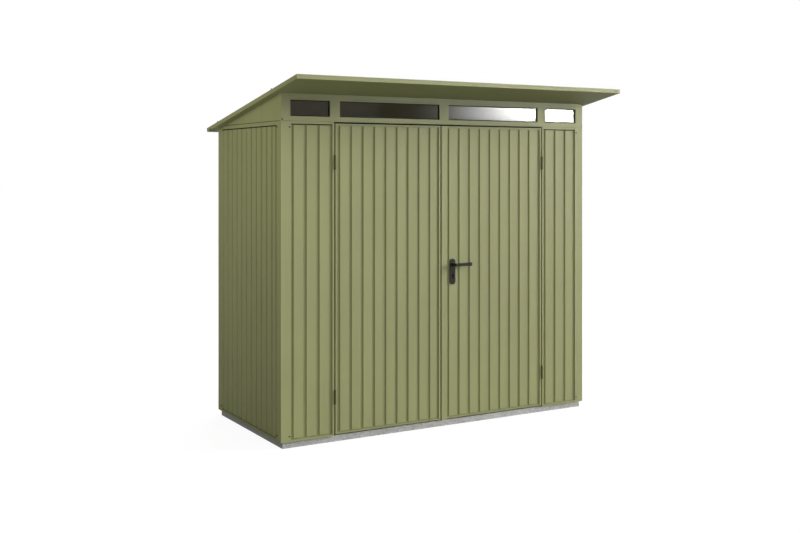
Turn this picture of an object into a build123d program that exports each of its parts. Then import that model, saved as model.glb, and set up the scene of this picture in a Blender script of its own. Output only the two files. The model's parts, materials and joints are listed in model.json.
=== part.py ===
from build123d import *
import math
import os

# A garden shed of painted, folded steel sheet with a mono-pitch roof.
# It stands on a galvanised base frame and has ribbed wall panels between corner posts,
# a glazed transom over a pair of hinged doors, and a thin roof that oversails the front.
# Sizes are in millimetres. X runs to the right and Z up; Y = 0 is the front wall's face,
# and the last step moves the origin to the middle of the roof's plan, at ground level.

# Overall sizes
shed_width = 2380.0
shed_depth = 1081.0
seam_height = 2025.0
roof_slope = 10.1

# Sheet and section thicknesses
sheet = 1.0
fold_wall = 1.2
frame_depth = 30.0
seat_gap = 0.3

# Base frame and floor
base_height = 40.0
base_inset = 17.0
base_rail_width = 40.0
base_wall = 2.0
floor_plate = 1.0

# Posts and rails
post_face = 68.0
centre_post_face = 68.0
jamb_face = 12.0
ledge_reach = 20.0
bottom_lip = 12.0
front_head_lip = 15.0
side_head_lip = 23.0
side_rail_setback = 2.5

# Ribbed panels: raised pans with a narrow valley between them
valley_depth = 9.0
pan_setback = 1.0
flank_run = 4.0
pan_width = 62.5
valley_width = 21.5
edge_valley = 21.5
side_first_pan = 42.5
front_valley_width = 26.6
front_edge_valley = 18.0
low_margin = 9.0
high_margin = 7.5

# Doorway and door leaves
doorway_width = 1649.4
door_gap = 9.7
leaf_gap = 10.0
meeting_offset = -25.0
leaf_bottom_gap = 10.0
leaf_top_gap = 9.0
leaf_lip = 12.0
leaf_top_lip = 9.0
leaf_bottom_lip = 8.0
leaf_thickness = 30.0
leaf_ledge = 28.0
closing_stile = 44.0
closing_valley = 16.0
stile_drop = 4.0

# Hinges
hinge_radius = 6.0
hinge_length = 87.0
hinge_proud = 5.0
hinge_pin_radius = 3.0
hinge_plate = 2.0
hinge_plate_depth = 30.0
hinge_end_distance = 246.0
knuckle_gap = 0.6

# Lock and lever
lever_height = 1085.0
lever_from_stile = 84.0
cylinder_drop = 72.0
plate_width = 42.0
plate_length = 172.0
plate_thickness = 9.0
plate_above_lever = 38.0
lever_reach = 130.0
lever_stand_off = 53.0
lever_thickness = 14.0
lever_root = 18.0
lever_tip = 24.0
lever_return = 38.0
lever_bend = 15.0
lever_edge = 3.0
neck_radius = 9.0
spindle = 8.0
spindle_clearance = 0.6
lock_case_length = 220.0
lock_case_width = 47.0

# Transom and its windows
transom_depth = 22.0
transom_sill_height = 32.0
window_height = 101.0
transom_head_height = 39.0
end_mullion = 63.0
side_mullion = 69.0
centre_mullion = 71.0
end_window_width = 274.0
pane_recess = 12.0
pane_thickness = 4.0
sill_gap = 2.0
gable_gap = 3.5
gap_depth = 5.0

# Roof
front_overhang = 346.0
back_overhang = 87.0
side_overhang = 52.0
roof_thickness = 26.6
roof_rim = 40.0
roof_rib_height = 18.0
roof_rib_top = 30.0
roof_rib_run = 12.0
roof_rib_pitch = 200.0
rim_notch = 55.0
rim_notch_end = 52.0
rim_plug_height = 9.0
filler_length = 28.0

# Places worked out from the sizes above
half_width = shed_width / 2
half_doorway = doorway_width / 2
wall_bottom = base_height
ledge_depth = valley_depth + sheet
soffit_height = seam_height + transom_sill_height + window_height + transom_head_height
slope = math.radians(roof_slope)
roof_frame = Plane(
    origin=(0, 0, soffit_height),
    x_dir=(1, 0, 0),
    z_dir=(0, math.sin(slope), math.cos(slope)),
)
roof_front = -front_overhang / math.cos(slope)
roof_back = (shed_depth + back_overhang) / math.cos(slope)
roof_half = half_width + side_overhang
plan_front = -front_overhang
plan_back = shed_depth + back_overhang + roof_thickness * math.sin(slope)
plan_middle = (plan_front + plan_back) / 2
pitch = pan_width + valley_width


def block(x, y, z):
    """A box from three (low, high) pairs."""
    size = [high - low for low, high in (x, y, z)]
    middle = [(low + high) / 2 for low, high in (x, y, z)]
    return Pos(*middle) * Box(*size)


def to_left(shape):
    """The same piece on the left-hand side."""
    return mirror(shape, about=Plane.YZ)


def under_roof(shape):
    """What is left of a piece below the underside of the roof."""
    reach = 4 * shed_width
    above = roof_frame * (Pos(0, 0, reach / 2) * Box(reach, reach, reach))
    return shape - above


def tube(plane, outline, length, wall=fold_wall):
    """A hollow folded section: the outline swept along the plane's normal."""
    face = make_face(Polyline(*outline, close=True))
    bore = offset(face, amount=-wall)
    return extrude(plane * face, length) - extrude(plane * bore, length)


def along_x(start):
    """A plane for sections given as (y, z) and swept to the right from X = start."""
    return Plane(origin=(start, 0, 0), x_dir=(0, 1, 0), z_dir=(1, 0, 0))


def along_y(start):
    """A plane for right-hand sections given as (distance inside the wall's face, z)."""
    return Plane(origin=(half_width, start, 0), x_dir=(-1, 0, 0), z_dir=(0, 1, 0))


# Base frame and floor


def base_section():
    """A channel lying on its side, open towards the inside of the shed."""
    outer = make_face(Polyline(
        (0, 0), (base_rail_width, 0), (base_rail_width, base_wall), (base_wall, base_wall),
        (base_wall, base_height - base_wall), (base_rail_width, base_height - base_wall),
        (base_rail_width, base_height), (0, base_height), close=True,
    ))
    return outer


def make_base():
    """Four rails whose ends are cut at 45 degrees, so that each corner is closed."""
    length = shed_width - 2 * base_inset
    depth = shed_depth - 2 * base_inset

    def mitred(rail_length):
        rail = extrude(Plane.YZ.offset(-rail_length / 2) * base_section(), rail_length)
        plan = make_face(Polyline(
            (-rail_length / 2, 0), (rail_length / 2, 0),
            (rail_length / 2 - base_rail_width, base_rail_width),
            (base_rail_width - rail_length / 2, base_rail_width), close=True,
        ))
        return rail & extrude(plan, base_height)

    front = Pos(0, base_inset) * mitred(length)
    back = mirror(front, about=Plane.XZ.offset(-shed_depth / 2))
    right = Pos(half_width - base_inset, shed_depth / 2) * (Rot(0, 0, 90) * mitred(depth))
    return {
        "base_rail_front": front,
        "base_rail_back": back,
        "base_rail_right": right,
        "base_rail_left": to_left(right),
    }


def make_floor():
    """Two trays turned upside down, side by side inside the base frame."""
    edge = base_inset + base_rail_width + seat_gap
    x = (seat_gap, half_width - edge)
    y = (edge, shed_depth - edge)
    tray = block(x, y, (0, base_height))
    tray -= block(
        (x[0] + floor_plate, x[1] - floor_plate),
        (y[0] + floor_plate, y[1] - floor_plate),
        (0, base_height - floor_plate),
    )
    return {"floor_panels": Compound([tray, to_left(tray)])}


# Posts, jambs and rails


def corner_section():
    arm = post_face
    return [
        (0, 0), (arm, 0), (arm, frame_depth), (frame_depth, frame_depth),
        (frame_depth, arm), (0, arm),
    ]


def make_posts():
    outline = [(half_width - across, back) for across, back in corner_section()]
    front_plane = Plane(origin=(0, 0, wall_bottom))
    front_right = tube(front_plane, outline, seam_height - wall_bottom)
    tall_right = tube(front_plane, outline, soffit_height - wall_bottom)
    back_right = under_roof(mirror(tall_right, about=Plane.XZ.offset(-shed_depth / 2)))
    half = centre_post_face / 2
    centre = tube(
        front_plane,
        [
            (-half, shed_depth - frame_depth), (half, shed_depth - frame_depth),
            (half, shed_depth), (-half, shed_depth),
        ],
        soffit_height - wall_bottom,
    )
    jamb_right = tube(
        front_plane,
        [
            (half_doorway, 0), (half_doorway + jamb_face, 0),
            (half_doorway + jamb_face, frame_depth), (half_doorway, frame_depth),
        ],
        seam_height - wall_bottom,
    )
    return {
        "corner_post_front_right": front_right,
        "corner_post_front_left": to_left(front_right),
        "corner_post_back_right": back_right,
        "corner_post_back_left": to_left(back_right),
        "back_centre_post": under_roof(centre),
        "door_jamb_right": jamb_right,
        "door_jamb_left": to_left(jamb_right),
    }


def low_rail_section(setback=0.0):
    ledge = bottom_lip + ledge_reach
    return [
        (setback, wall_bottom), (frame_depth, wall_bottom), (frame_depth, wall_bottom + ledge),
        (ledge_depth, wall_bottom + ledge), (ledge_depth, wall_bottom + bottom_lip),
        (setback, wall_bottom + bottom_lip),
    ]


def head_rail_section(lip, top=seam_height, setback=0.0):
    return [
        (setback, top - lip), (ledge_depth, top - lip), (ledge_depth, top - lip - ledge_reach),
        (frame_depth, top - lip - ledge_reach), (frame_depth, top), (setback, top),
    ]


front_bay = (half_doorway + jamb_face, half_width - post_face)
side_bay = (post_face, shed_depth - post_face)
back_bay = (centre_post_face / 2, half_width - post_face)
back_soffit = soffit_height - shed_depth * math.tan(slope)
back_head_top = back_soffit + frame_depth * math.tan(slope)


def make_rails():
    """The rails that the wall panels stand in and are capped by, one set a bay."""
    low, head = [], []
    front_plane, front_length = along_x(front_bay[0]), front_bay[1] - front_bay[0]
    low.append(tube(front_plane, low_rail_section(), front_length))
    head.append(tube(front_plane, head_rail_section(front_head_lip), front_length))

    side_plane, side_length = along_y(side_bay[0]), side_bay[1] - side_bay[0]
    low.append(tube(side_plane, low_rail_section(), side_length))
    side_head = tube(
        side_plane,
        head_rail_section(side_head_lip, setback=side_rail_setback),
        side_length,
    )
    head.append(under_roof(side_head))

    back_plane, back_length = along_x(back_bay[0]), back_bay[1] - back_bay[0]
    back_low = [(shed_depth - inside, up) for inside, up in low_rail_section()]
    low.append(tube(back_plane, back_low, back_length))
    back_head = [
        (shed_depth - inside, up)
        for inside, up in head_rail_section(side_head_lip, top=back_head_top)
    ]
    head.append(under_roof(tube(back_plane, back_head, back_length)))
    return {
        "wall_bottom_rails": Compound(low + [to_left(rail) for rail in low]),
        "wall_top_rails": Compound(head + [to_left(rail) for rail in head]),
    }


# Ribbed panels


def pan_spans(width, first_edge, pan, valley, last_edge):
    """The (start, end) of each pan: equal ones from the left, and what is left over last."""
    spans, start, stop = [], first_edge, width - last_edge
    while start < stop:
        spans.append((start, min(start + pan, stop)))
        start += pan + valley
    return spans


def pan_section(start, end, low, high):
    """A pan's trapezium across the sheet, wide at its foot and narrow at its top."""
    return make_face(Polyline(
        (start - flank_run, low), (start, high), (end, high), (end + flank_run, low), close=True,
    ))


def pressed_panel(width, height, spans):
    """A sheet with raised pans, seen from outside: X across, Y up and Z outwards.
    The panel's lower left corner is at the origin, and Z = 0 is the frame's outer face.
    The pans end square, just short of the rails, and run out at the sheet's sides."""
    rise = valley_depth - pan_setback
    wall = sheet * (math.hypot(rise, flank_run) - flank_run) / rise
    up = Plane(origin=(0, low_margin, 0), x_dir=(1, 0, 0), z_dir=(0, 1, 0))
    inside = Plane(origin=(0, low_margin + sheet, 0), x_dir=(1, 0, 0), z_dir=(0, 1, 0))
    tall = height - low_margin - high_margin
    plate = block((0, width), (0, height), (-valley_depth - sheet, -valley_depth))
    outer, inner = [], []
    for start, end in spans:
        outer.append(extrude(
            up * pan_section(start, end, valley_depth, pan_setback), tall
        ))
        inner.append(extrude(
            inside * pan_section(
                start + wall, end - wall, valley_depth + sheet, pan_setback + sheet
            ),
            tall - 2 * sheet,
        ))
    pressed = plate + outer - inner
    return pressed & block((0, width), (0, height), (-valley_depth - sheet, 0))


def facing_front(x, z):
    return Plane(origin=(x, 0, z), x_dir=(1, 0, 0), z_dir=(0, -1, 0))


def facing_right(y, z):
    return Plane(origin=(half_width, y, z), x_dir=(0, 1, 0), z_dir=(1, 0, 0))


def facing_back(x, z):
    return Plane(origin=(x, shed_depth, z), x_dir=(-1, 0, 0), z_dir=(0, 1, 0))


def make_wall_panels():
    foot = wall_bottom + bottom_lip
    front_width = front_bay[1] - front_bay[0]
    front_spans = pan_spans(
        front_width, front_edge_valley, pan_width, front_valley_width, edge_valley
    )
    # Both front panels are the same pressing, with its narrow valley on the left.
    front_panel = pressed_panel(front_width, seam_height - front_head_lip - foot, front_spans)

    side_width = side_bay[1] - side_bay[0]
    # The side's narrow pan is beside the front post, and its last pan runs into the back one.
    narrow_end = edge_valley + side_first_pan
    side_spans = [(edge_valley, narrow_end)] + pan_spans(
        side_width, narrow_end + valley_width, pan_width, valley_width, -flank_run
    )
    side_panel = facing_right(side_bay[0], foot) * pressed_panel(
        side_width, seam_height - side_head_lip - foot, side_spans
    )

    back_width = back_bay[1] - back_bay[0]
    back_spans = pan_spans(back_width, edge_valley, pan_width, valley_width, edge_valley)
    back_panel = facing_back(back_bay[1], foot) * pressed_panel(
        back_width, back_head_top - side_head_lip - foot, back_spans
    )
    return {
        "front_panel_right": facing_front(front_bay[0], foot) * front_panel,
        "front_panel_left": facing_front(-front_bay[1], foot) * front_panel,
        "side_panel_right": side_panel,
        "side_panel_left": to_left(side_panel),
        "back_panel_right": back_panel,
        "back_panel_left": to_left(back_panel),
    }


# Transom, windows and gables


window_bottom = seam_height + transom_sill_height
window_top = window_bottom + window_height
inner_window_start = centre_mullion / 2
outer_window_end = half_width - end_mullion
outer_window_start = outer_window_end - end_window_width
inner_window_end = outer_window_start - side_mullion
window_spans = [
    (-outer_window_end, -outer_window_start),
    (-inner_window_end, -inner_window_start),
    (inner_window_start, inner_window_end),
    (outer_window_start, outer_window_end),
]


def channel(x, z, closed_ends=False):
    """A folded channel of the transom, open towards the inside of the shed."""
    skin_x = (x[0] + fold_wall, x[1] - fold_wall)
    skin_z = (z[0] + fold_wall, z[1] - fold_wall)
    hollow = block(skin_x, (fold_wall, transom_depth), skin_z)
    return block(x, (0, transom_depth), z) - hollow


def make_transom():
    across = (-half_width, half_width)
    sill = channel(across, (seam_height, window_bottom))
    # The sill's face stops just above the wall, which leaves a thin shadow line.
    sill -= block(across, (0, gap_depth), (seam_height, seam_height + sill_gap))
    top = soffit_height + fold_wall
    head_front = block(across, (0, transom_depth), (window_top, top))
    head_fall = [
        (fold_wall, window_top + fold_wall),
        (transom_depth, window_top + fold_wall),
        (transom_depth, soffit_height - transom_depth * math.tan(slope) - fold_wall),
        (fold_wall, soffit_height - fold_wall * math.tan(slope) - fold_wall),
    ]
    hollow_plane = along_x(-half_width + fold_wall)
    hollow = extrude(
        hollow_plane * make_face(Polyline(*head_fall, close=True)),
        shed_width - 2 * fold_wall,
    )
    edges = [-half_width]
    for start, end in window_spans:
        edges += [start, end]
    edges.append(half_width)
    mullions = [
        channel((edges[i], edges[i + 1]), (window_bottom, window_top))
        for i in range(0, len(edges), 2)
    ]
    pieces = {
        "transom_sill": sill,
        "transom_head": under_roof(head_front) - hollow,
        "transom_mullions": Compound(mullions),
    }
    for number, (start, end) in enumerate(window_spans, start=1):
        pieces[f"window_pane_{number}"] = block(
            (start, end), (pane_recess, pane_recess + pane_thickness), (window_bottom, window_top)
        )
    return pieces


def make_gables():
    """A tapering tray between the side's head rail and the roof."""
    tip = (soffit_height - seam_height) / math.tan(slope)
    high = soffit_height - transom_depth * math.tan(slope)
    face = make_face(Polyline(
        (transom_depth, seam_height), (tip, seam_height), (transom_depth, high), close=True
    ))
    outside = Plane(origin=(half_width, 0, 0), x_dir=(0, 1, 0), z_dir=(1, 0, 0))
    solid = extrude(outside * face, -transom_depth)
    hollow = extrude(outside.offset(-fold_wall) * offset(face, amount=-fold_wall), -transom_depth)
    right = solid - hollow
    right -= block(
        (half_width - gap_depth, half_width), (0, shed_depth), (seam_height, seam_height + gable_gap)
    )
    return {"gable_panel_right": right, "gable_panel_left": to_left(right)}


# Roof


def roof_block(x, s, n):
    """A box in the roof's own frame: across, down the slope and out of the roof."""
    return roof_frame * block(x, s, n)


def roof_rib_starts():
    """Where each rib's foot begins, spread evenly about the middle of the roof."""
    foot = roof_rib_top + 2 * roof_rib_run
    count = int((2 * roof_half - 2 * roof_rim) // roof_rib_pitch)
    first = -(count - 1) * roof_rib_pitch / 2 - foot / 2
    return [first + i * roof_rib_pitch for i in range(count)]


def rib_outline(start, low, high, run, inset=0.0):
    """A rib's trapezium from one height to another, or one that fits inside it."""
    foot = roof_rib_top + 2 * roof_rib_run
    return [
        (start + inset, low), (start + foot - inset, low),
        (start + foot - run - inset, high), (start + run + inset, high),
    ]


def make_roof():
    rim = (roof_half - roof_rim, roof_half)
    tall = (0, roof_thickness)
    inside = (fold_wall, roof_thickness - fold_wall)
    # The fascia's face is upright, so its folds start from a longer block.
    ahead = roof_front - roof_thickness * math.tan(slope)
    drop = (0, 2 * soffit_height)
    fascia = roof_block((-roof_half, roof_half), (ahead, roof_front + roof_rim), tall)
    fascia -= block((-roof_half, roof_half), (2 * plan_front, plan_front), drop)
    hollow = roof_block(
        (-roof_half + fold_wall, roof_half - fold_wall), (ahead, roof_front + roof_rim), inside
    )
    fascia -= hollow - block(
        (-roof_half, roof_half), (2 * plan_front, plan_front + fold_wall), drop
    )
    verge = roof_block(rim, (roof_front + roof_rim, roof_back), tall)
    verge -= roof_block(
        (rim[0], rim[1] - fold_wall), (roof_front + roof_rim, roof_back), inside
    )
    # A notch in the verge's lower fold, near its back end, takes a plastic plug.
    notch_back = roof_back - rim_notch_end
    notch = (notch_back - rim_notch, notch_back)
    verge -= roof_block((rim[0], rim[1]), notch, (0, fold_wall))
    verge -= roof_block((rim[1] - fold_wall, rim[1]), notch, (0, rim_plug_height))
    soffit = roof_block(
        (-rim[0], rim[0]), (roof_front + roof_rim, roof_back), (0, fold_wall)
    )

    # The ribbed sheet lies on the soffit and runs under the rim's top flanges.
    bed = fold_wall
    sheet_x = (-roof_half + 2 * fold_wall, roof_half - 2 * fold_wall)
    sheet_s = (roof_front + 2 * fold_wall, roof_back)
    sheet_plane = Plane(
        origin=roof_frame.from_local_coords((0, sheet_s[0], 0)),
        x_dir=roof_frame.x_dir,
        z_dir=-roof_frame.y_dir,
    )
    length = sheet_s[1] - sheet_s[0]
    lean = sheet * (math.hypot(roof_rib_height, roof_rib_run) - roof_rib_run) / roof_rib_height

    def run_down(outline):
        return extrude(sheet_plane * make_face(Polyline(*outline, close=True)), -length)

    flat = roof_block(sheet_x, sheet_s, (bed, bed + sheet))
    ribs, hollows, fillers = [], [], []
    filler_start = Plane(
        origin=roof_frame.from_local_coords((0, roof_back - sheet, 0)),
        x_dir=roof_frame.x_dir,
        z_dir=-roof_frame.y_dir,
    )
    for start in roof_rib_starts():
        top = bed + sheet + roof_rib_height
        ribs.append(run_down(rib_outline(start, bed + sheet, top, roof_rib_run)))
        under = rib_outline(start, bed, top - sheet, roof_rib_run, inset=lean)
        hollows.append(run_down(under))
        fill = rib_outline(start, bed, top - sheet, roof_rib_run, inset=lean)
        fillers.append(
            extrude(filler_start * make_face(Polyline(*fill, close=True)), filler_length)
        )
    roof_sheet = flat + ribs - hollows
    plug = roof_block((rim[0] + seat_gap, rim[1]), notch, (0, fold_wall))
    plug += roof_block((rim[1] - fold_wall, rim[1]), notch, (0, rim_plug_height))
    return {
        "roof_fascia": fascia,
        "roof_verge_right": verge,
        "roof_verge_left": to_left(verge),
        "roof_soffit": soffit,
        "roof_sheet": roof_sheet,
        "eaves_fillers": Compound(fillers + [plug, to_left(plug)]),
    }


# Doors


leaf_bottom = base_height + leaf_bottom_gap
leaf_top = seam_height - leaf_top_gap
leaf_edge = half_doorway - door_gap
left_leaf = (-leaf_edge, meeting_offset - leaf_gap / 2)
right_leaf = (meeting_offset + leaf_gap / 2, leaf_edge)
lever_x = right_leaf[0] + lever_from_stile
cylinder_height = lever_height - cylinder_drop


def leaf_frame(span, left_lip, right_lip):
    """A leaf's folded frame: a lip round the panel's edge, a step back for the panel to
    rest on, and a flange behind. It is hollow, and open towards the middle of the leaf."""
    tall = (leaf_bottom, leaf_top)

    def ring(inset, grow, y):
        hole_x = (span[0] + left_lip + grow, span[1] - right_lip - grow)
        hole_z = (tall[0] + leaf_bottom_lip + grow, tall[1] - leaf_top_lip - grow)
        outer_x = (span[0] + inset, span[1] - inset)
        outer_z = (tall[0] + inset, tall[1] - inset)
        return block(outer_x, y, outer_z) - block(hole_x, y, hole_z)

    frame = ring(0, 0, (0, ledge_depth)) + ring(0, leaf_ledge, (ledge_depth, leaf_thickness))
    frame -= ring(fold_wall, -fold_wall, (fold_wall, ledge_depth + fold_wall))
    frame -= ring(
        fold_wall, leaf_ledge, (ledge_depth + fold_wall, leaf_thickness - fold_wall)
    )
    return frame


def leaf_panel(span, left_lip, right_lip, first_edge, last_edge):
    width = span[1] - span[0] - left_lip - right_lip
    height = leaf_top - leaf_bottom - leaf_top_lip - leaf_bottom_lip
    spans = pan_spans(width, first_edge, pan_width, valley_width, last_edge)
    place = facing_front(span[0] + left_lip, leaf_bottom + leaf_bottom_lip)
    return place * pressed_panel(width, height, spans)


def euro_profile(clearance=0.0):
    """The keyhole shape of a profile cylinder, round above and narrow below."""
    barrel = Circle(8.5 + clearance)
    web = Pos(0, -12) * Rectangle(10 + 2 * clearance, 24 + 2 * clearance)
    foot = Pos(0, -24) * Circle(5 + clearance)
    return barrel + web + foot


def through_door(shape, y_front, y_back, x, z):
    """A 2-D shape in the door's face, run back from one depth to another."""
    plane = Plane(origin=(x, y_back, z), x_dir=(1, 0, 0), z_dir=(0, -1, 0))
    return extrude(plane * shape, y_back - y_front)


def lock_cuts(y_front, y_back):
    """The holes for the lever's spindle and the lock's cylinder."""
    spindle_hole = Circle(spindle * math.sqrt(2) / 2 + spindle_clearance)
    return [
        through_door(spindle_hole, y_front, y_back, lever_x, lever_height),
        through_door(euro_profile(0.2), y_front, y_back, lever_x, cylinder_height),
    ]


def make_doors():
    right_panel = leaf_panel(right_leaf, closing_stile, leaf_lip, closing_valley, edge_valley + 7)
    right_frame = leaf_frame(right_leaf, closing_stile, leaf_lip)
    # The closing stile's face reaches a little below the rest of its leaf.
    right_frame += block(
        (right_leaf[0], right_leaf[0] + closing_stile),
        (0, fold_wall),
        (leaf_bottom - stile_drop, leaf_bottom),
    )
    return {
        "door_left_frame": leaf_frame(left_leaf, leaf_lip, leaf_lip),
        "door_left_panel": leaf_panel(left_leaf, leaf_lip, leaf_lip, edge_valley, 18.0),
        "door_right_frame": right_frame,
        "door_right_panel": right_panel - lock_cuts(0, valley_depth),
    }


# Hinges


def make_hinges():
    """Lift-off hinges: the lower half on the jamb carries the pin for the door's half."""
    axis_x = (half_doorway + leaf_edge) / 2
    knuckle = (hinge_length - knuckle_gap) / 2
    plate_y = (-hinge_proud + hinge_radius / 2, hinge_plate_depth - hinge_proud)
    jamb_halves, door_halves = [], []
    for centre in (leaf_top - hinge_end_distance, leaf_bottom + hinge_end_distance - 10):
        low = centre - hinge_length / 2
        top = low + hinge_length
        barrel = Pos(axis_x, -hinge_proud, low + knuckle / 2) * Cylinder(hinge_radius, knuckle)
        pin_length = knuckle * 0.8
        pin = Pos(axis_x, -hinge_proud, low + knuckle + pin_length / 2) * Cylinder(
            hinge_pin_radius, pin_length
        )
        plate = block((half_doorway - hinge_plate, half_doorway), plate_y, (low, low + knuckle))
        jamb_halves.append(barrel + pin + plate)
        cap = Pos(axis_x, -hinge_proud, top - knuckle / 2) * Cylinder(hinge_radius, knuckle)
        bore_length = pin_length + knuckle_gap
        bore = Pos(axis_x, -hinge_proud, top - knuckle + bore_length / 2) * Cylinder(
            hinge_pin_radius + seat_gap, bore_length
        )
        wing = block((leaf_edge, leaf_edge + hinge_plate), plate_y, (top - knuckle, top))
        door_halves.append(cap + wing - bore)
    return {
        "jamb_hinge_halves": Compound(jamb_halves + [to_left(half) for half in jamb_halves]),
        "door_right_hinge_halves": Compound(door_halves),
        "door_left_hinge_halves": Compound([to_left(half) for half in door_halves]),
    }


# Lock and lever handles


def lock_plate(y_face, y_back):
    """A long plate with round ends that covers the lock's spindle and cylinder."""
    centre = lever_height + plate_above_lever - plate_length / 2
    outline = Rot(0, 0, 90) * SlotOverall(plate_length, plate_width)
    body = through_door(outline, y_face, y_back, lever_x, centre)
    neck_hole = Circle(neck_radius + seat_gap)
    body -= through_door(neck_hole, y_face, y_back, lever_x, lever_height)
    return body - through_door(euro_profile(0.2), y_face, y_back, lever_x, cylinder_height)


def nearest(shape, points):
    """The shape's own corners that lie at the given places."""
    return [min(shape.vertices(), key=lambda v: (v.center() - p.center()).length) for p in points]


def lever():
    """A flat lever that widens towards its tip and turns back to the door there.
    X runs along it and Y away from the door. Its two outlines, from above and from the
    front, are cut from one block, and its long edges are rounded."""
    inner = lever_stand_off - lever_thickness
    plan = make_face(Polyline(
        (-neck_radius, inner), (-neck_radius, lever_stand_off), (lever_reach, lever_stand_off),
        (lever_reach, lever_stand_off - lever_return),
        (lever_reach - lever_thickness, lever_stand_off - lever_return),
        (lever_reach - lever_thickness, inner), close=True,
    ))
    corners = plan.vertices()
    outer_bend = corners.filter_by(lambda v: v.X > lever_reach - 1 and v.Y > inner)
    inner_bend = corners.filter_by(lambda v: 0 < v.X < lever_reach - 1 and v.Y > inner - 1)
    tip_end = corners.filter_by(lambda v: v.Y < inner - 1)
    heel = corners.filter_by(lambda v: v.X < 0 and v.Y > inner + 1)
    plan = fillet(outer_bend, lever_bend)
    plan = fillet(nearest(plan, inner_bend), lever_bend - lever_thickness + lever_edge)
    plan = fillet(nearest(plan, heel), lever_thickness / 2)
    plan = fillet(nearest(plan, tip_end), lever_thickness / 3)
    front = make_face(Polyline(
        (-neck_radius, -lever_root / 2), (lever_reach, -lever_tip / 2),
        (lever_reach, lever_tip / 2), (-neck_radius, lever_root / 2), close=True,
    ))
    front = fillet(front.vertices(), lever_edge)
    facing = Plane(origin=(0, 0, 0), x_dir=(1, 0, 0), z_dir=(0, 1, 0))
    arm = extrude(plan, lever_tip, both=True) & extrude(facing * front, lever_stand_off)
    neck = Pos(0, inner / 2 + lever_edge, 0) * (
        Rot(90, 0, 0) * Cylinder(neck_radius, inner + 2 * lever_edge)
    )
    return arm + neck


def make_lock():
    outer_face = pan_setback
    inner_face = leaf_thickness
    plates = [
        lock_plate(outer_face - plate_thickness, outer_face),
        lock_plate(inner_face, inner_face + plate_thickness),
    ]
    case_start = right_leaf[0] + closing_stile + leaf_ledge
    case_bottom = (lever_height + cylinder_height - lock_case_length) / 2
    case = block(
        (case_start, case_start + lock_case_width),
        (pan_setback + sheet, leaf_thickness),
        (case_bottom, case_bottom + lock_case_length),
    )
    for cut in lock_cuts(0, leaf_thickness):
        case -= cut
    cylinder = through_door(
        euro_profile(),
        outer_face - plate_thickness + 1,
        inner_face + plate_thickness - 1,
        lever_x,
        cylinder_height,
    )
    front_origin = Pos(lever_x, outer_face - plate_thickness + 1, lever_height)
    back_origin = Pos(lever_x, inner_face + plate_thickness - 1, lever_height)
    outside = front_origin * (Rot(180, 0, 0) * lever())
    inside = back_origin * lever()
    bar = block(
        (lever_x - spindle / 2, lever_x + spindle / 2),
        (outer_face - plate_thickness + 1, inner_face + plate_thickness - 1),
        (lever_height - spindle / 2, lever_height + spindle / 2),
    )
    return {
        "lock_plates": Compound(plates),
        "lock_case": case,
        "lock_cylinder": cylinder,
        "lever_outside": outside + bar,
        "lever_inside": inside,
    }


def main():
    pieces = {}
    for make in (
        make_base, make_floor, make_posts, make_rails, make_wall_panels, make_transom,
        make_gables, make_roof, make_doors, make_hinges, make_lock,
    ):
        pieces.update(make())
    os.makedirs("parts", exist_ok=True)
    for name, shape in pieces.items():
        export_step(Pos(0, -plan_middle, 0) * shape, f"parts/{name}.step")


if __name__ == "__main__":
    main()
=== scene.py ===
# %% [markdown]
# # A painted steel garden shed, dressed for a studio photograph
#
# The shed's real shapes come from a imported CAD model, which stays exactly where it is.
# This file gives those shapes their finishes, adds the small pieces that are fitted last,
# such as screws, seals and the key slot, and sets up the light, the floor and the camera.

# %% Load the frame
import json
import math

import bmesh
import bpy
from mathutils import Matrix, Vector


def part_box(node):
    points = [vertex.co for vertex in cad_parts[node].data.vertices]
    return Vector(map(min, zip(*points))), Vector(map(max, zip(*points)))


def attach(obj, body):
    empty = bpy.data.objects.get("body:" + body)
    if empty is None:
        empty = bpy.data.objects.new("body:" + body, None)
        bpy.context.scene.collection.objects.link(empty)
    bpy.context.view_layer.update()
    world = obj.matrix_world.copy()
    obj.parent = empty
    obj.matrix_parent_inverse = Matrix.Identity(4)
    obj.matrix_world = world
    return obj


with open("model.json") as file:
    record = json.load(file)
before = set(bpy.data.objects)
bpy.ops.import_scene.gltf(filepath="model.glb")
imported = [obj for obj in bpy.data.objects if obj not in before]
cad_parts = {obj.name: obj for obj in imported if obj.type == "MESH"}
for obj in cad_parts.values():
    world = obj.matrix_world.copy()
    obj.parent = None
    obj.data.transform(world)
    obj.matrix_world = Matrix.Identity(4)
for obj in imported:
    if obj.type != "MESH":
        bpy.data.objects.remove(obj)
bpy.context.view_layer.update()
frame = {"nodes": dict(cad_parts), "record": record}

nodes = frame["nodes"]
scene = bpy.context.scene

# %% [markdown]
# ## The camera
#
# The photograph was taken level, from eye height, standing to the left of the doors. A camera
# tipped down would make the upright edges lean together. These stay upright, so the camera
# stays level and the picture is shifted down instead, as an architect's shift lens does it.

# %% Camera
CAMERA_PLACE = (-3.8527, -6.4437, 1.7403)
CAMERA_TURN = math.radians(-30.198)
LENS_MM = 47.94
SENSOR_MM = 36.0
LENS_SHIFT = -0.12426

camera_data = bpy.data.cameras.new("camera")
camera_data.lens = LENS_MM
camera_data.sensor_width = SENSOR_MM
camera_data.shift_y = LENS_SHIFT
camera = bpy.data.objects.new("camera", camera_data)
camera.location = CAMERA_PLACE
camera.rotation_euler = (math.radians(90), 0, CAMERA_TURN)
scene.collection.objects.link(camera)
scene.camera = camera
print("camera at", CAMERA_PLACE)

# %% [markdown]
# ## A short way to write shaders
#
# A Blender finish is a net of nodes. It could be clicked together by hand, or every node and
# link could be written out, which is long and hard to read. Here a node's output is a Value,
# and adding or multiplying two Values makes the Math node that does it. So a finish reads
# like a formula, and the maths can be followed line by line.

# %% Value


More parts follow.
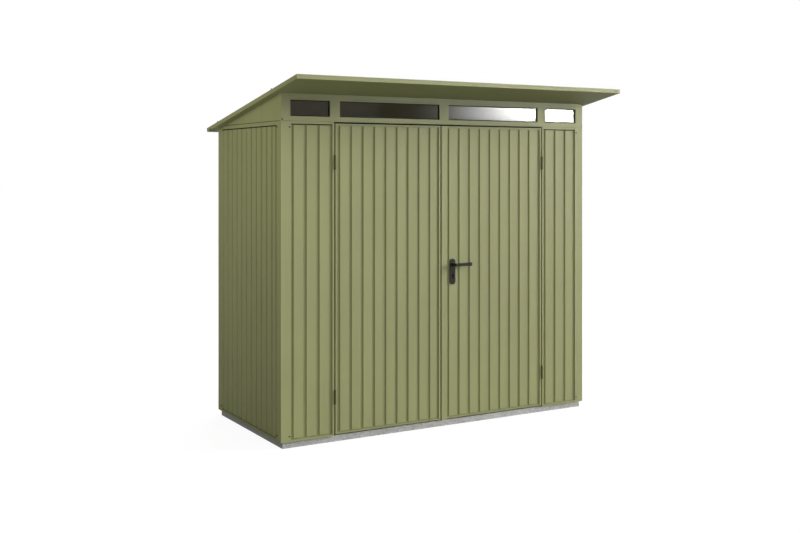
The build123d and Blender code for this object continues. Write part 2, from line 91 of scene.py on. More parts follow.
class Value:
    """A node's output, on which the usual signs of arithmetic add Math nodes."""

    def __init__(self, graph, socket):
        self.graph = graph
        self.socket = socket

    def _math(self, operation, other):
        return self.graph.node("ShaderNodeMath", {"operation": operation}, {0: self, 1: other})

    def __add__(self, other):
        return self._math("ADD", other)

    def __rsub__(self, other):
        """A plain number less this value."""
        number = self.graph.node("ShaderNodeMath", {"operation": "ADD"}, {0: other, 1: 0.0})
        return number._math("SUBTRACT", self)

    def __mul__(self, other):
        return self._math("MULTIPLY", other)

    def __pow__(self, other):
        return self._math("POWER", other)

    def __gt__(self, other):
        return self._math("GREATER_THAN", other)

    def high(self, other):
        """The larger of two values."""
        return self._math("MAXIMUM", other)


# %% Graph


class Graph:
    """A node tree that is written as expressions."""

    def __init__(self, tree):
        self.tree = tree
        tree.nodes.clear()

    def node(self, kind, settings=None, inputs=None, output=0):
        """One node of any type: settings first, then the values or links of its sockets."""
        made = self.tree.nodes.new(kind)
        for name, value in (settings or {}).items():
            setattr(made, name, value)
        for name, value in (inputs or {}).items():
            socket = made.inputs[name]
            if isinstance(value, Value):
                self.tree.links.new(value.socket, socket)
            else:
                socket.default_value = value
        return Value(self, made.outputs[output]) if len(made.outputs) else made

    def ray(self, kind):
        """1 where the ray that asks is of this kind, and else 0."""
        return self.node("ShaderNodeLightPath", output="Is %s Ray" % kind)

    def place(self, output="Object"):
        return self.node("ShaderNodeTexCoord", output=output)

    def stretch(self, vector, scale):
        """A vector multiplied by three numbers, to make a pattern finer or coarser."""
        return self.node(
            "ShaderNodeVectorMath", {"operation": "MULTIPLY"}, {0: vector, 1: scale}
        )

    def split(self, vector, axis):
        return self.node("ShaderNodeSeparateXYZ", inputs={0: vector}, output=axis)

    def noise(self, vector, scale, detail):
        return self.node(
            "ShaderNodeTexNoise", inputs={"Vector": vector, "Scale": scale, "Detail": detail}
        )

    def cells(self, vector, scale, output="Color"):
        return self.node(
            "ShaderNodeTexVoronoi", inputs={"Vector": vector, "Scale": scale}, output=output
        )

    def span(self, value, low, high, to_low=0.0, to_high=1.0):
        """A value carried from one range to another, and held at the ends."""
        return self.node(
            "ShaderNodeMapRange",
            {"clamp": True},
            {0: value, 1: low, 2: high, 3: to_low, 4: to_high},
        )

    def mix(self, factor, first, second):
        """A colour between two others."""
        return self.node(
            "ShaderNodeMix", {"data_type": "RGBA"}, {0: factor, 6: first, 7: second}, output=2
        )

    def bump(self, height, strength, distance):
        return self.node(
            "ShaderNodeBump",
            inputs={"Height": height, "Strength": strength, "Distance": distance},
        )


# %% Colours and new materials
WHITE = (1.0, 1.0, 1.0, 1.0)


def colour(red, green, blue):
    """A colour as it looks on screen, from 0 to 255, as the linear one that shaders use."""

    def linear(part):
        part /= 255
        return part / 12.92 if part <= 0.04045 else ((part + 0.055) / 1.055) ** 2.4

    return (linear(red), linear(green), linear(blue), 1.0)


def scaled(shade, factor):
    """A linear colour made lighter or darker."""
    return tuple(min(1.0, part * factor) for part in shade[:3]) + (1.0,)


def new_finish(name):
    made = bpy.data.materials.new(name)
    made.use_nodes = True
    return made, Graph(made.node_tree)


# %% [markdown]
# ## The background
#
# Everything behind the shed is plain white. A white dome would do that, but it would also wash
# out the paint. So the dome asks each ray what it is for. Rays from the camera, also through
# a pane, see white. Rays that carry light to the shed see a sky that shines only from the
# front, most of all straight out from the doors, which leaves the underside of the roof and
# the side walls darker. Mirrored rays see a dim grey, so that gloss doesn't turn the paint pale.

# %% World
SKY_FRONT = 1.56
MIRRORED_FRONT = 0.55
MIRRORED_BACK = 0.35

world = bpy.data.worlds.new("studio")
scene.world = world
world.use_nodes = True
graph = Graph(world.node_tree)
white = graph.ray("Camera").high(graph.ray("Transmission"))
mirrored = graph.ray("Glossy")
to_back = graph.split(graph.place("Generated"), "Y")
to_front = (0 - to_back).high(0.0)
sky = to_front * SKY_FRONT
gleam = to_front * MIRRORED_FRONT + to_back.high(0.0) * MIRRORED_BACK
strength = white + (1 - white) * (mirrored * gleam + (1 - mirrored) * sky)
background = graph.node(
    "ShaderNodeBackground", inputs={"Color": WHITE, "Strength": strength}
)
graph.node("ShaderNodeOutputWorld", inputs={"Surface": background})
print("the sky shines from the front with a strength of", SKY_FRONT)

# %% [markdown]
# ## The lamps
#
# The key light comes from the right, and low enough to shine in under the roof's edge. It
# crosses the front wall at a slant, which leaves the valleys of the ribbed sheet in shade.
# A softbox could give it, but a nearby lamp fades along the wall, so it is a sun instead,
# with a wide disc for soft shadows. A small softbox stands close to the left wall, and a
# large one high behind the shed lights the back and the roof when the camera goes round.

# %% Lamps
HOUSE_MIDDLE = Vector((0.0, -0.41, 1.25))


def seen_from_house(azimuth, elevation, distance):
    """A point at an angle to the right of straight out from the doors, and above level."""
    a, e = math.radians(azimuth), math.radians(elevation)
    way = Vector((math.sin(a) * math.cos(e), -math.cos(a) * math.cos(e), math.sin(e)))
    return HOUSE_MIDDLE + distance * way


def aim(thing, target):
    thing.rotation_euler = (target - thing.location).to_track_quat("-Z", "Y").to_euler()


def lamp(name, kind, strength, place, target):
    """A lamp that lights the shed but doesn't show in its gloss."""
    data = bpy.data.lights.new(name, kind)
    data.energy = strength
    made = bpy.data.objects.new(name, data)
    made.location = place
    aim(made, target)
    made.visible_glossy = False
    scene.collection.objects.link(made)
    print(name, strength, "at", [round(part, 2) for part in made.location])
    return data


KEY_STRENGTH = 3.5
KEY_DISC = math.radians(20)
SIDE_WATTS, SIDE_SIZE = 16.0, 1.3
SIDE_PLACE, SIDE_TARGET = Vector((-2.8, 0.1, 2.1)), Vector((-1.2, 0.1, 1.6))
BACK_WATTS, BACK_SIZE = 420.0, 5.0

key = lamp("key_lamp", "SUN", KEY_STRENGTH, seen_from_house(68, 16, 11.0), HOUSE_MIDDLE)
key.angle = KEY_DISC
side_box = lamp("side_lamp", "AREA", SIDE_WATTS, SIDE_PLACE, SIDE_TARGET)
side_box.size = SIDE_SIZE
back_box = lamp("back_lamp", "AREA", BACK_WATTS, seen_from_house(152, 42, 8.0), HOUSE_MIDDLE)
back_box.size = BACK_SIZE

# %% [markdown]
# ## Glare in the windows and on the paint
#
# In the photograph the dark windows turn white towards the right: they mirror a bright
# softbox whose glow fades out at its edge. A lamp bright enough for that would burn out the
# paint. So each glare is a card that only reflections can see, and that fades from its middle
# to its edge. A long low card fills the windows, and a wider, dimmer one gives the painted
# sheet its soft sheen on the right.

# %% Glare cards


def glare_card(name, glow, half_width, half_height, full, power, place):
    """An oval that only reflections see: full glow inside a share of its radius, then a fade."""
    bpy.ops.mesh.primitive_circle_add(vertices=96, radius=1.0, fill_type="NGON")
    made = bpy.context.active_object
    made.name = name
    made.scale = (half_width, half_height, 1.0)
    made.location = place
    aim(made, Vector((HOUSE_MIDDLE.x, HOUSE_MIDDLE.y, place.z)))
    made.visible_camera = False
    made.visible_diffuse = False
    made.visible_transmission = False
    made.visible_shadow = False
    finish, graph = new_finish(name)
    from_middle = graph.node(
        "ShaderNodeVectorMath", {"operation": "LENGTH"}, {0: graph.place()}, output="Value"
    )
    strength = graph.span(from_middle, 1.0, full) ** power * glow
    light = graph.node("ShaderNodeEmission", inputs={"Color": WHITE, "Strength": strength})
    graph.node("ShaderNodeOutputMaterial", inputs={"Surface": light})
    made.data.materials.append(finish)
    print(name, "glows at", glow)


WINDOW_GLOW = 66.0
PAINT_GLOW = 12.5
WINDOW_CARD_HEIGHT = 2.60
window_card_place = seen_from_house(52, 0, 8.9)
window_card_place.z = WINDOW_CARD_HEIGHT
glare_card("glare_in_windows", WINDOW_GLOW, 4.3, 0.62, 0.40, 4.0, window_card_place)
glare_card("glare_on_paint", PAINT_GLOW, 3.8, 2.3, 0.5, 2.0, seen_from_house(54, 26, 8.9))

# %% [markdown]
# ## The floor
#
# The floor is white to the eye, like the wall behind it, but it keeps a little of its real
# shading, so that the shed's shadow still shows and it stands on something. To the light
# that bounces it is a mid grey, which keeps the underside of the roof as dark as it should be.

# %% Floor
FLOOR_SIZE = 160.0
FLOOR_WHITE = 0.86
FLOOR_GLOW = 1.06
FLOOR_IN_GLOSS = 0.1
FLOOR_SEEN = (0.97, 0.97, 0.97, 1)
FLOOR_BOUNCE = (0.45, 0.45, 0.45, 1)

bpy.ops.mesh.primitive_plane_add(size=FLOOR_SIZE, location=(0, 0, 0))
floor = bpy.context.active_object
floor.name = "floor"
floor_finish, graph = new_finish("floor")
seen = graph.ray("Camera")
matt = graph.node(
    "ShaderNodeBsdfDiffuse", inputs={"Color": graph.mix(seen, FLOOR_BOUNCE, FLOOR_SEEN)}
)
glow = graph.node("ShaderNodeEmission", inputs={"Color": WHITE, "Strength": FLOOR_GLOW})
white = seen.high(graph.ray("Transmission"))
share = white * FLOOR_WHITE + graph.ray("Glossy") * FLOOR_IN_GLOSS
surface = graph.node("ShaderNodeMixShader", inputs={0: share, 1: matt, 2: glow})
graph.node("ShaderNodeOutputMaterial", inputs={"Surface": surface})
floor.data.materials.append(floor_finish)
print("floor", FLOOR_SIZE, "m wide")

# %% [markdown]
# ## Paint
#
# The walls, frames and roof are steel coil coated in one olive green. Such a coat is smooth
# but not perfect: seen close it has a fine orange peel, and its gloss varies a little from
# place to place, which keeps large flat faces from looking like plastic. A photograph of
# paint could be laid on, but it would stretch and repeat. Noise has no seams, so one recipe
# serves every painted piece, with its own gloss for flat sheet, folded frames and hinges.

# %% Painted steel
OLIVE = colour(131, 133, 87)
# The hinge olive is painted shade. The hinges wear the same paint as the shed, and this much
# darker copy stands for the shade they sit in at the door gaps.
HINGE_OLIVE_PAINTED_SHADE = colour(76, 76, 45)
PALER, DEEPER = 1.07, 0.94


def shader(graph, **sockets):
    """The surface shader with its sockets given by name, joined to the output."""
    inputs = {name.replace("_", " "): value for name, value in sockets.items()}
    body = graph.node("ShaderNodeBsdfPrincipled", inputs=inputs)
    graph.node("ShaderNodeOutputMaterial", inputs={"Surface": body})


def painted(name, base, gloss, shine=0.5):
    made, graph = new_finish(name)
    place = graph.place()
    clouds = graph.noise(place, 1.7, 4.0)
    streaks = graph.noise(graph.stretch(place, (14.0, 14.0, 0.7)), 1.0, 3.0)
    peel = graph.noise(place, 900.0, 2.0)
    waves = graph.noise(graph.stretch(place, (5.0, 5.0, 2.0)), 1.0, 2.0)
    patches = graph.span(clouds * 0.6 + streaks * 0.4, 0.35, 0.65)
    wear = clouds + peel * 0.2
    shader(
        graph,
        Base_Color=graph.mix(patches, scaled(base, DEEPER), scaled(base, PALER)),
        Roughness=graph.span(wear, 0.4, 0.8, gloss - 0.03, gloss + 0.05),
        Normal=graph.bump(peel * 0.3 + waves, 0.25, 0.0012),
        Specular_IOR_Level=shine,
    )
    print(name, "roughness about", gloss)
    return made


sheet_paint = painted("painted_sheet", OLIVE, 0.63)
frame_paint = painted("painted_frame", OLIVE, 0.60)
# The hinge finish takes that darker olive, so its colour carries painted shade.
hinge_paint_painted_shade = painted("hinge_olive_painted_shade", HINGE_OLIVE_PAINTED_SHADE, 0.60, 0.25)

# %% [markdown]
# ## Galvanised steel
#
# The base frame is bare steel with a zinc coat. Zinc freezes in flat crystals, each turned
# its own way, so the surface is a patchwork of greys. A cell pattern gives each crystal its
# own grey and its own gloss. The lock's plates have the same coat in much finer crystals.

# %% Zinc


def zinc(name, grey, crystal):
    made, graph = new_finish(name)
    place = graph.place()
    flake = graph.split(graph.cells(place, crystal), "X")
    fine = graph.split(graph.cells(place, crystal * 2.3), "Y")
    bloom = graph.noise(place, 9.0, 5.0)
    light = graph.span(flake * 0.6 + fine * 0.4 + bloom * 0.5, 0.2, 1.3)
    dull, bright = (colour(*[part * share for part in grey]) for share in (0.84, 1.12))
    shader(
        graph,
        Base_Color=graph.mix(light, dull, bright),
        Metallic=0.35,
        Roughness=graph.span(fine + bloom * 0.5, 0.2, 1.2, 0.42, 0.62),
        Normal=graph.bump(bloom, 0.3, 0.001),
    )
    print(name, "crystals about", round(1000 / crystal), "mm wide")
    return made


galvanised = zinc("galvanised", (164, 164, 161), 95.0)
plated_steel = zinc("plated_steel", (170, 168, 160), 240.0)

# %% [markdown]
# ## Window sheet
#
# The windows are thin acrylic. A mirror-smooth sheet would show the card as a hard shape, and
# a real sheet is never quite flat or clean. So its skin is faintly rough, by an amount that
# drifts across the sheet, and this blurs the glare into a soft fade.

# %% Acrylic
SMOKE = colour(224, 212, 174)
ACRYLIC_IOR = 1.41


def acrylic(name):
    made, graph = new_finish(name)
    haze = graph.noise(graph.place(), 6.0, 3.0)
    shader(
        graph,
        Base_Color=SMOKE,
        Roughness=graph.span(haze, 0.3, 0.7, 0.04, 0.06),
        Transmission_Weight=1.0,
        IOR=ACRYLIC_IOR,
    )
    print(name, "bends light by", ACRYLIC_IOR)
    return made


window_sheet = acrylic("acrylic")

# %% [markdown]
# ## Black plastic, rubber and dark metal
#
# The lever and its plate are moulded in black plastic with a fine leather-like grain. Seals
# and gaskets are a duller black rubber, and screws and the cylinder are blackened steel. They
# differ only in their grey, gloss and grain, so one function makes them all.

# %% Black finishes


def black(name, grey, gloss, grain, shine):
    made, graph = new_finish(name)
    place = graph.place()
    pores = graph.cells(place, grain, "Distance")
    patches = graph.noise(place, 30.0, 3.0)
    shader(
        graph,
        Base_Color=graph.mix(patches, colour(*grey), colour(*[part * 1.35 for part in grey])),
        Roughness=graph.span(patches, 0.3, 0.7, gloss - 0.05, gloss + 0.06),
        Normal=graph.bump(pores, 0.35, 0.0004),
        Specular_IOR_Level=shine,
    )
    print(name, "grey", grey)
    return made


black_plastic = black("black_plastic", (23, 20, 14), 0.42, 1400.0, 0.28)
rubber = black("rubber", (12, 12, 10), 0.62, 700.0, 0.12)
# The seal rubber is nearly black. This is partly the seal's own colour and partly painted shade
# for the gap over the doors.
seal_rubber_painted_shade = black("seal_rubber_painted_shade", (5, 5, 4), 0.70, 700.0, 0.05)
dark_cylinder = black("dark_cylinder", (6, 6, 5), 0.45, 2600.0, 0.05)
dark_screw = black("dark_screw", (22, 22, 15), 0.50, 900.0, 0.12)

# %% [markdown]
# ## The filler at the roof's low corner
#
# At its low end each verge is closed by a filler: painted where it meets the wall, then a
# short black plug, then a pale end. It is one small piece on the model, so its three parts
# are told apart by how far back they lie, in the shader, instead of being cut in three.

# %% Filler
PLUG_START, PLUG_END = 0.681, 0.716
PLUG_BLACK, PALE_END = colour(12, 12, 10), colour(150, 150, 146)


def three_part_filler(name):
    """Paint towards the wall, then a black plug, then a pale end, in steps along the roof."""
    made, graph = new_finish(name)
    place = graph.place()
    along = graph.split(place, "Y")
    pores = graph.noise(place, 600.0, 2.0)
    paint_or_plug = graph.mix(along > PLUG_START, OLIVE, PLUG_BLACK)
    shader(
        graph,
        Base_Color=graph.mix(along > PLUG_END, paint_or_plug, PALE_END),
        Roughness=graph.span(pores, 0.3, 0.7, 0.55, 0.65),
        Normal=graph.bump(pores, 0.2, 0.0004),
        Specular_IOR_Level=0.3,
    )
    print(name, "is black from", PLUG_START, "to", PLUG_END)
    return made


roof_filler = three_part_filler("roof_filler")

# %% [markdown]
# ## Give each CAD piece its finish
#
# The record names a finish for each node, so one table does most of it, and a second one
# holds the few pieces that differ. Sheet steel has no knife edges: a fold has a radius that
# catches the light. So each piece but the window sheets gets a small bevel. A modifier does
# it, so the mesh itself stays as the CAD made it.

# %% Dress the CAD nodes
PAINT_EDGE = 0.0009
EDGE_OF_SLOT = {"galvanised": 0.0006, "black_plastic": 0.0005, "bare_steel": 0.0003}
FLAT_WITHIN = math.radians(0.6)
FOLD_FROM = math.radians(34)
FINISH_OF_SLOT = {
    "painted_wall": sheet_paint,
    "painted_frame": frame_paint,
    "painted_roof": frame_paint,
    "galvanised": galvanised,
    "window": window_sheet,
    "black_plastic": black_plastic,
    "bare_steel": plated_steel,
}
FINISH_OF_NODE = {
    "eaves_fillers": roof_filler,
    "lock_cylinder": dark_cylinder,
    "jamb_hinge_halves": hinge_paint_painted_shade,
    "door_left_hinge_halves": hinge_paint_painted_shade,
    "door_right_hinge_halves": hinge_paint_painted_shade,
}
slot_of = {row["node"]: row["material_slot"] for row in frame["record"]["subparts"]}


def soften_edges(thing, width):
    """Join the triangles of flat faces first, so that only real folds are rounded."""
    flat = thing.modifiers.new("flat_faces", "DECIMATE")
    flat.decimate_type = "DISSOLVE"
    flat.angle_limit = FLAT_WITHIN
    edges = thing.modifiers.new("soft_edges", "BEVEL")
    edges.width = width
    edges.segments = 2
    edges.limit_method = "ANGLE"
    edges.angle_limit = FOLD_FROM


for name, thing in nodes.items():
    slot = slot_of[name]
    thing.data.materials.clear()
    thing.data.materials.append(FINISH_OF_NODE.get(name, FINISH_OF_SLOT[slot]))
    for polygon in thing.data.polygons:
        polygon.use_smooth = False
    if slot != "window":
        soften_edges(thing, EDGE_OF_SLOT.get(slot, PAINT_EDGE))
print("dressed", len(nodes), "nodes")

# %% [markdown]
# ## Small fittings as joined meshes
#
# A shed has dozens of small fittings, and most are round things turned on a lathe or long
# strips cut from a roll. As separate objects they would crowd the file, so all the copies of
# one fitting that move together are joined in one object, which rides on their body.

# %% Helpers for fittings


def join_parts(name, body, parts, finish):
    """One object made of several small meshes, which rides on one body of the shed."""
    whole = bmesh.new()
    for part in parts:
        holder = bpy.data.meshes.new("part")
        part.to_mesh(holder)
        part.free()
        whole.from_mesh(holder)
        bpy.data.meshes.remove(holder)
    data = bpy.data.meshes.new(name)
    whole.to_mesh(data)
    whole.free()
    made = bpy.data.objects.new(name, data)
    scene.collection.objects.link(made)
    made.data.materials.append(finish)
    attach(made, body)
    print(name, "joins", len(parts), "parts with", len(data.polygons), "faces")


def turned(profile, sides):
    """A turned shape: profile gives (radius, height) from the rim to the middle."""
    mesh = bmesh.new()
    rings = []
    for radius, height in profile:
        ring = []
        for i in range(sides):
            angle = 2 * math.pi * i / sides
            corner = (radius * math.cos(angle), radius * math.sin(angle), height)
            ring.append(mesh.verts.new(corner))
        rings.append(ring)
    for lower, upper in zip(rings, rings[1:]):
        for i in range(sides):
            j = (i + 1) % sides
            mesh.faces.new((lower[i], lower[j], upper[j], upper[i]))
    mesh.faces.new(rings[-1])
    mesh.faces.new(list(reversed(rings[0])))
    return mesh


def stand(part, point, outward, spin=0.0, tall=1.0):
    """Put a turned shape with its foot on a point, facing outward."""
    turn = Vector(outward).to_track_quat("Z", "Y").to_matrix().to_4x4()
    own_turn = Matrix.Rotation(spin, 4, "Z") @ Matrix.Scale(tall, 4, (0, 0, 1))
    part.transform(Matrix.Translation(point) @ turn @ own_turn)
    return part


def turned_pieces(name, body, profile, sides, spots, finish, slot):
    """Copies of one turned part at each (point, outward direction)."""
    parts = [stand(turned(profile, sides), point, outward) for point, outward in spots]
    join_parts(name, body, parts, finish)


def strips(name, body, boxes, finish, edge=0.0006):
    """Long boxes with rounded edges, each given as its ends in x, y and z."""
    parts = []
    for spans in boxes:
        low = Vector([min(span) for span in spans])
        high = Vector([max(span) for span in spans])
        part = bmesh.new()
        bmesh.ops.create_cube(part, size=1.0)
        size = Matrix.Diagonal(high - low).to_4x4()
        bmesh.ops.transform(part, matrix=size, verts=part.verts)
        bmesh.ops.translate(part, vec=(low + high) / 2, verts=part.verts)
        bmesh.ops.bevel(part, geom=part.edges[:], offset=edge, segments=2, affect="EDGES")
        parts.append(part)
    join_parts(name, body, parts, finish)


# %% [markdown]
# ## Screws
#
# The shed is screwed together through its posts. From a few steps away each screw is only a
# dark dot, and a dot could be painted on, but up close it is a real fixing: a domed hexagon
# head on a flange. So it is drawn as two turned profiles, the head with only six sides, and
# each copy is turned a little further, as nobody lines them up.

# %% Screw places
FLANGE = [(0.0046, 0.0), (0.0048, 0.0006), (0.0046, 0.0012), (0.0038, 0.0016)]
HEAD = [(0.0032, 0.0014), (0.0032, 0.0036), (0.0027, 0.0043), (0.0015, 0.0046)]
SCREW_TURN = 0.7

FOOT_SCREW_Z = 0.076
FRONT_HEAD_SCREW_Z = 1.988
SIDE_HEAD_SCREW_Z = 1.990
BACK_HEAD_SCREW_Z = 1.955
SILL_SCREW_Z = 2.0365
POST_SCREW_IN = 0.057
SILL_SCREW_IN = 0.0075
SIDE_SCREW_IN = 0.0620
CENTRE_POST_SCREW = 0.025

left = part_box("corner_post_front_left")[0].x
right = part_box("corner_post_front_right")[1].x
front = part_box("corner_post_front_left")[0].y
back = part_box("corner_post_back_left")[1].y
OUT, IN = (0, -1, 0), (0, 1, 0)


def place_screws(name, spots, tall=1.0):
    """One object with a screw at each (point, outward direction)."""
    parts = []
    for number, (point, outward) in enumerate(spots):
        for profile, sides in ((FLANGE, 20), (HEAD, 6)):
            part = turned(profile, sides)
            parts.append(stand(part, point, outward, SCREW_TURN * number, tall))
    join_parts(name, "shed", parts, dark_screw)


front_spots = []
side_spots = []
for wall, inward in ((left, 1), (right, -1)):
    for z in (FOOT_SCREW_Z, FRONT_HEAD_SCREW_Z):
        front_spots.append(((wall + inward * POST_SCREW_IN, front, z), OUT))
    front_spots.append(((wall + inward * SILL_SCREW_IN, front, SILL_SCREW_Z), OUT))
    for y, z in (
        (front + SIDE_SCREW_IN, FOOT_SCREW_Z),
        (back - SIDE_SCREW_IN, FOOT_SCREW_Z),
        (front + SIDE_SCREW_IN, SIDE_HEAD_SCREW_Z),
    ):
        side_spots.append(((wall, y, z), (-inward, 0, 0)))
place_screws("screws_front", front_spots)
place_screws("screws_side", side_spots)

back_spots = []
for x in (left + POST_SCREW_IN, -CENTRE_POST_SCREW, CENTRE_POST_SCREW, right - POST_SCREW_IN):
    for z in (FOOT_SCREW_Z, BACK_HEAD_SCREW_Z):
        back_spots.append(((x, back, z), IN))
place_screws("screws_back", back_spots)

# %% [markdown]
# ## Roof screws
#
# The roof sheet is screwed down in rows across the slope, and each side's trim has two screws
# of its own. These heads stand taller, on a thick sealing washer. Working out the height of
# the slope at each place is easy to get wrong, so a ray is dropped on the roof from above,
# and every head sits on the metal that carries it and faces as it does. The two on the left
# trim are small bumps on the roof's outline.

# %% Roof screws
ROOF_NODES = ("roof_sheet", "roof_verge_left", "roof_verge_right")
EDGE_SCREW_X = 1.2368
EDGE_SCREW_ROWS = (-0.374, 0.560)
SHEET_SCREW_ROWS = (-0.690, -0.120, 0.300, 0.710)
SHEET_SCREW_STEP = 0.2
ROOF_SCREW_TALL = 1.8
ABOVE_ROOF = 5.0


def drop(x, y):
    """Where a ray from above first meets the roof, and the way the metal faces there."""
    met = []
    for name in ROOF_NODES:
        start = Vector((x, y, ABOVE_ROOF))
        hit, point, normal, _ = nodes[name].ray_cast(start, Vector((0, 0, -1)))
        if hit:
            met.append((point, normal))
    return max(met, key=lambda spot: spot[0].z)


roof_spots = [drop(side * EDGE_SCREW_X, y) for side in (-1, 1) for y in EDGE_SCREW_ROWS]
for y in SHEET_SCREW_ROWS:
    for step in range(-5, 6):
        roof_spots.append(drop(step * SHEET_SCREW_STEP, y))
place_screws("screws_roof", roof_spots, ROOF_SCREW_TALL)

# %% [markdown]
# ## Window gaskets
#
# Around each window, just in front of the sheet, runs a thin black gasket that hides its cut
# edge. A real one is a rubber profile pressed into the frame. Its face is all that shows, so
# four rounded strips make it, each placed by the box of the pane that it holds.

# %% Window gaskets
GASKET = 0.006
GASKET_DEEP = 0.0035
GASKET_OFF_PANE = 0.0001

gasket_boxes = []
for number in range(1, 5):
    low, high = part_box("window_pane_%d" % number)
    y = (low.y - GASKET_DEEP, low.y - GASKET_OFF_PANE)
    for z in ((low.z, low.z + GASKET), (high.z - GASKET, high.z)):
        gasket_boxes.append(((low.x, high.x), y, z))
    for x in ((low.x, low.x + GASKET), (high.x - GASKET, high.x)):
        gasket_boxes.append((x, y, (low.z + GASKET, high.z - GASKET)))
strips("window_gaskets", "shed", gasket_boxes, rubber, 0.001)

# %% [markdown]
# ## Door seal, stops and strips of painted shade
#
# A black seal hangs under the sill over the doors. It is made blacker than the other rubber,
# as painted shade for the dark line in the gap there.
# The jambs carry painted stops in the door gaps, in lengths that leave the hinges free, so
# no daylight shows down the side of a leaf. Dark rubber strips under the wall sheets' head
# rails are painted shade for the shadow line under each rail. The same rounded strips make
# all of these, and they take their places from the leaf, the sill, the jamb and the sheets,
# which keeps them out of a leaf's way.

# %% Door seal and stops
SEAL_DEPTH = (0.012, 0.024)
SEAL_OVER_LEAF = 0.0008
STOP_DEPTH = (0.012, 0.027)
STOP_OFF_LEAF = 0.0015
STOP_UNDER_TOP = 0.002
STOPS_BELOW_HINGES = ((0.062, 0.238), (0.335, 1.722))
TOP_STOP_FOOT = 1.818

leaf_low, leaf_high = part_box("door_left_frame")
sill_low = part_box("transom_sill")[0].z
jamb_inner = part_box("door_jamb_right")[0].x
leaf_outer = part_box("door_right_frame")[1].x
seal_y = [front + depth for depth in SEAL_DEPTH]
seal_box = ((-jamb_inner, jamb_inner), seal_y, (leaf_high.z + SEAL_OVER_LEAF, sill_low))
strips("door_head_seal_painted_shade", "shed", [seal_box], seal_rubber_painted_shade)

stop_y = [front + depth for depth in STOP_DEPTH]
stop_boxes = []
for side in (-1, 1):
    x = (side * (leaf_outer + STOP_OFF_LEAF), side * jamb_inner)
    for z in (*STOPS_BELOW_HINGES, (TOP_STOP_FOOT, leaf_high.z - STOP_UNDER_TOP)):
        stop_boxes.append((x, stop_y, z))
strips("door_stops", "shed", stop_boxes, frame_paint)

# %% Dark strips under the head rails, as painted shade
SHADE_STRIP_FAR, SHADE_STRIP_NEAR = 0.0035, 0.0011
SHADE_STRIP_FOOT, SHADE_STRIP_TOP = 0.0065, 0.0002
FRONT_RAIL_LIP_Z = 2.0100

# Each dark strip is painted shade: rubber laid under a head rail where its shadow line falls.
shade_strip_boxes = []
for panel in ("front_panel_left", "front_panel_right"):
    low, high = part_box(panel)
    y = (high.y - SHADE_STRIP_FAR, high.y - SHADE_STRIP_NEAR)
    z = (FRONT_RAIL_LIP_Z - SHADE_STRIP_FOOT, FRONT_RAIL_LIP_Z - SHADE_STRIP_TOP)
    shade_strip_boxes.append(((low.x, high.x), y, z))
for panel, inner, way in (("side_panel_left", 1, -1), ("side_panel_right", 0, 1)):
    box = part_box(panel)
    x = (box[inner].x + way * SHADE_STRIP_FAR, box[inner].x + way * SHADE_STRIP_NEAR)
    z = (box[1].z - SHADE_STRIP_FOOT, box[1].z - SHADE_STRIP_TOP)
    shade_strip_boxes.append((x, (box[0].y, box[1].y), z))
strips("panel_painted_shade_strips", "shed", shade_strip_boxes, rubber, 0.0004)

# %% [markdown]
# ## Lock furniture
#
# A collar turns round the lever's neck, two flat screws hold each plate, and the cylinder
# ends in a round plug with a slot for the key. All of them are turned parts in real life,
# so each is a profile turned on its axis, once outside and once inside the door.

# %% Turned lock pieces
LEVER_Z = 1.085
KEY_UNDER_TOP = 0.0085
PLATE_SCREW_IN = 0.0105
COLLAR = [
    (0.0128, 0.0), (0.0128, 0.0012), (0.0120, 0.0021), (0.0100, 0.0024), (0.0093, 0.0020)
]
PLATE_SCREW = [
    (0.0042, 0.0), (0.0042, 0.0006), (0.0036, 0.0011), (0.0021, 0.0011), (0.0018, 0.0003)
]
KEY_PLUG = [(0.0068, 0.0), (0.0068, 0.0006), (0.0064, 0.0009)]

plate_low, plate_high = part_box("lock_plates")
cylinder_low, cylinder_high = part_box("lock_cylinder")
lock_x = (plate_low.x + plate_high.x) / 2
key_z = cylinder_high.z - KEY_UNDER_TOP


def on_both_sides(low, high, heights):
    """Spots on the lock's upright line, on the outer and the inner face of a piece."""
    return [((lock_x, y, z), way) for y, way in ((low.y, OUT), (high.y, IN)) for z in heights]


collar_spots = on_both_sides(plate_low, plate_high, [LEVER_Z])
screw_heights = (plate_high.z - PLATE_SCREW_IN, plate_low.z + PLATE_SCREW_IN)
screw_spots = on_both_sides(plate_low, plate_high, screw_heights)
plug_spots = on_both_sides(cylinder_low, cylinder_high, [key_z])
plastic = (black_plastic, "black_plastic")
turned_pieces("lever_collars", "door_right", COLLAR, 40, collar_spots, *plastic)
turned_pieces("plate_screws", "door_right", PLATE_SCREW, 24, screw_spots, *plastic)
turned_pieces("key_plugs", "door_right", KEY_PLUG, 32, plug_spots, dark_cylinder, "bare_steel")

# %% [markdown]
# ## Key slots, latch and strike plate
#
# The slot in each plug is a narrow upright with a small step to one side. Cutting it would
# take a boolean on a piece a few millimetres wide, so it is laid on as two black slivers. On
# the doors' meeting edges are the lock's steel face plate with its latch, and the plate that
# the latch closes into. They are flat stampings, and both lie behind the doors' front face.

# %% Key slots
SLOT_RISE = (0.0005, 0.00105)
SLOT_WIDE, SLOT_HIGH = (-0.0006, 0.0006), (-0.0045, 0.0040)
STEP_WIDE, STEP_HIGH = (-0.0017, 0.0006), (-0.0012, 0.0002)

# The black slivers are painted shade: they stand for the dark inside of a slot that is not cut.
slot_shade_boxes = []
for face, way in ((cylinder_low.y, -1), (cylinder_high.y, 1)):
    y = [face + way * rise for rise in SLOT_RISE]
    for wide, high in ((SLOT_WIDE, SLOT_HIGH), (STEP_WIDE, STEP_HIGH)):
        x = [lock_x + part for part in wide]
        z = [key_z + part for part in high]
        slot_shade_boxes.append((x, y, z))
strips("key_slot_painted_shade", "door_right", slot_shade_boxes, rubber, 0.0001)

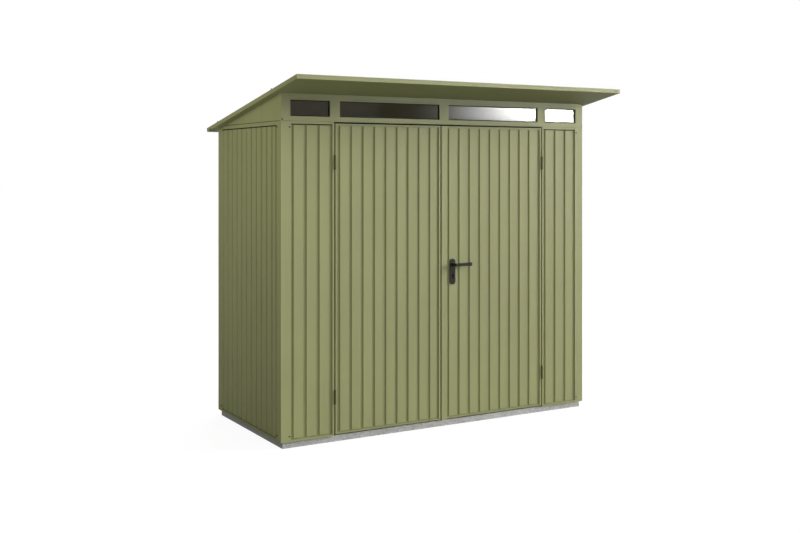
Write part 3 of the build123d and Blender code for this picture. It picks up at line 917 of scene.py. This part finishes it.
# %% Latch and strike plate
PLATE_THICK = 0.0012
PLATE_DEPTH, LATCH_DEPTH = (0.0150, 0.0290), (0.0170, 0.0270)
LATCH_OUT, LATCH_ROOT = 0.0065, 0.0010
FACE_PLATE_Z, LATCH_Z, STRIKE_Z = (0.930, 1.165), (1.070, 1.102), (1.050, 1.120)

stile_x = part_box("door_right_frame")[0].x
plate_y = [front + depth for depth in PLATE_DEPTH]
latch_y = [front + depth for depth in LATCH_DEPTH]
face_plate = ((stile_x - PLATE_THICK, stile_x), plate_y, FACE_PLATE_Z)
latch = ((stile_x - LATCH_OUT, stile_x - LATCH_ROOT), latch_y, LATCH_Z)
strike = ((leaf_high.x, leaf_high.x + PLATE_THICK), plate_y, STRIKE_Z)
strips("lock_face_plate", "door_right", [face_plate, latch], plated_steel)
strips("strike_plate", "door_left", [strike], plated_steel)

# %% [markdown]
# ## Hinge ends
#
# Each hinge barrel ends in a low dome, as a flat end would show a hard ring of light. The
# lower one belongs to the jamb and stays still, and the upper one turns with the leaf, so
# they are separate pieces on separate bodies.

# %% Hinge ends
DOME = [(0.0058, 0.0), (0.0056, 0.0010), (0.0046, 0.0020), (0.0028, 0.0027), (0.0010, 0.0029)]
BARREL_RADIUS = 0.006
HINGE_FEET = (0.2425, 1.7265)
HINGE_TALL = 0.087
UP, DOWN = (0, 0, 1), (0, 0, -1)

barrel_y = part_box("jamb_hinge_halves")[0].y + BARREL_RADIUS
barrel_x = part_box("door_right_hinge_halves")[0].x + BARREL_RADIUS
for name, body, sides, lift, way in (
    ("hinge_feet", "shed", (-1, 1), 0.0, DOWN),
    ("hinge_tops_left", "door_left", (-1,), HINGE_TALL, UP),
    ("hinge_tops_right", "door_right", (1,), HINGE_TALL, UP),
):
    spots = [((s * barrel_x, barrel_y, foot + lift), way) for s in sides for foot in HINGE_FEET]
    turned_pieces(name, body, DOME, 24, spots, hinge_paint_painted_shade, "painted_frame")

# %% [markdown]
# ## Finish
#
# Every fitting lies within the shed's outer size. The view transform is set to Standard.

# %% Finish
scene.view_settings.view_transform = "Standard"
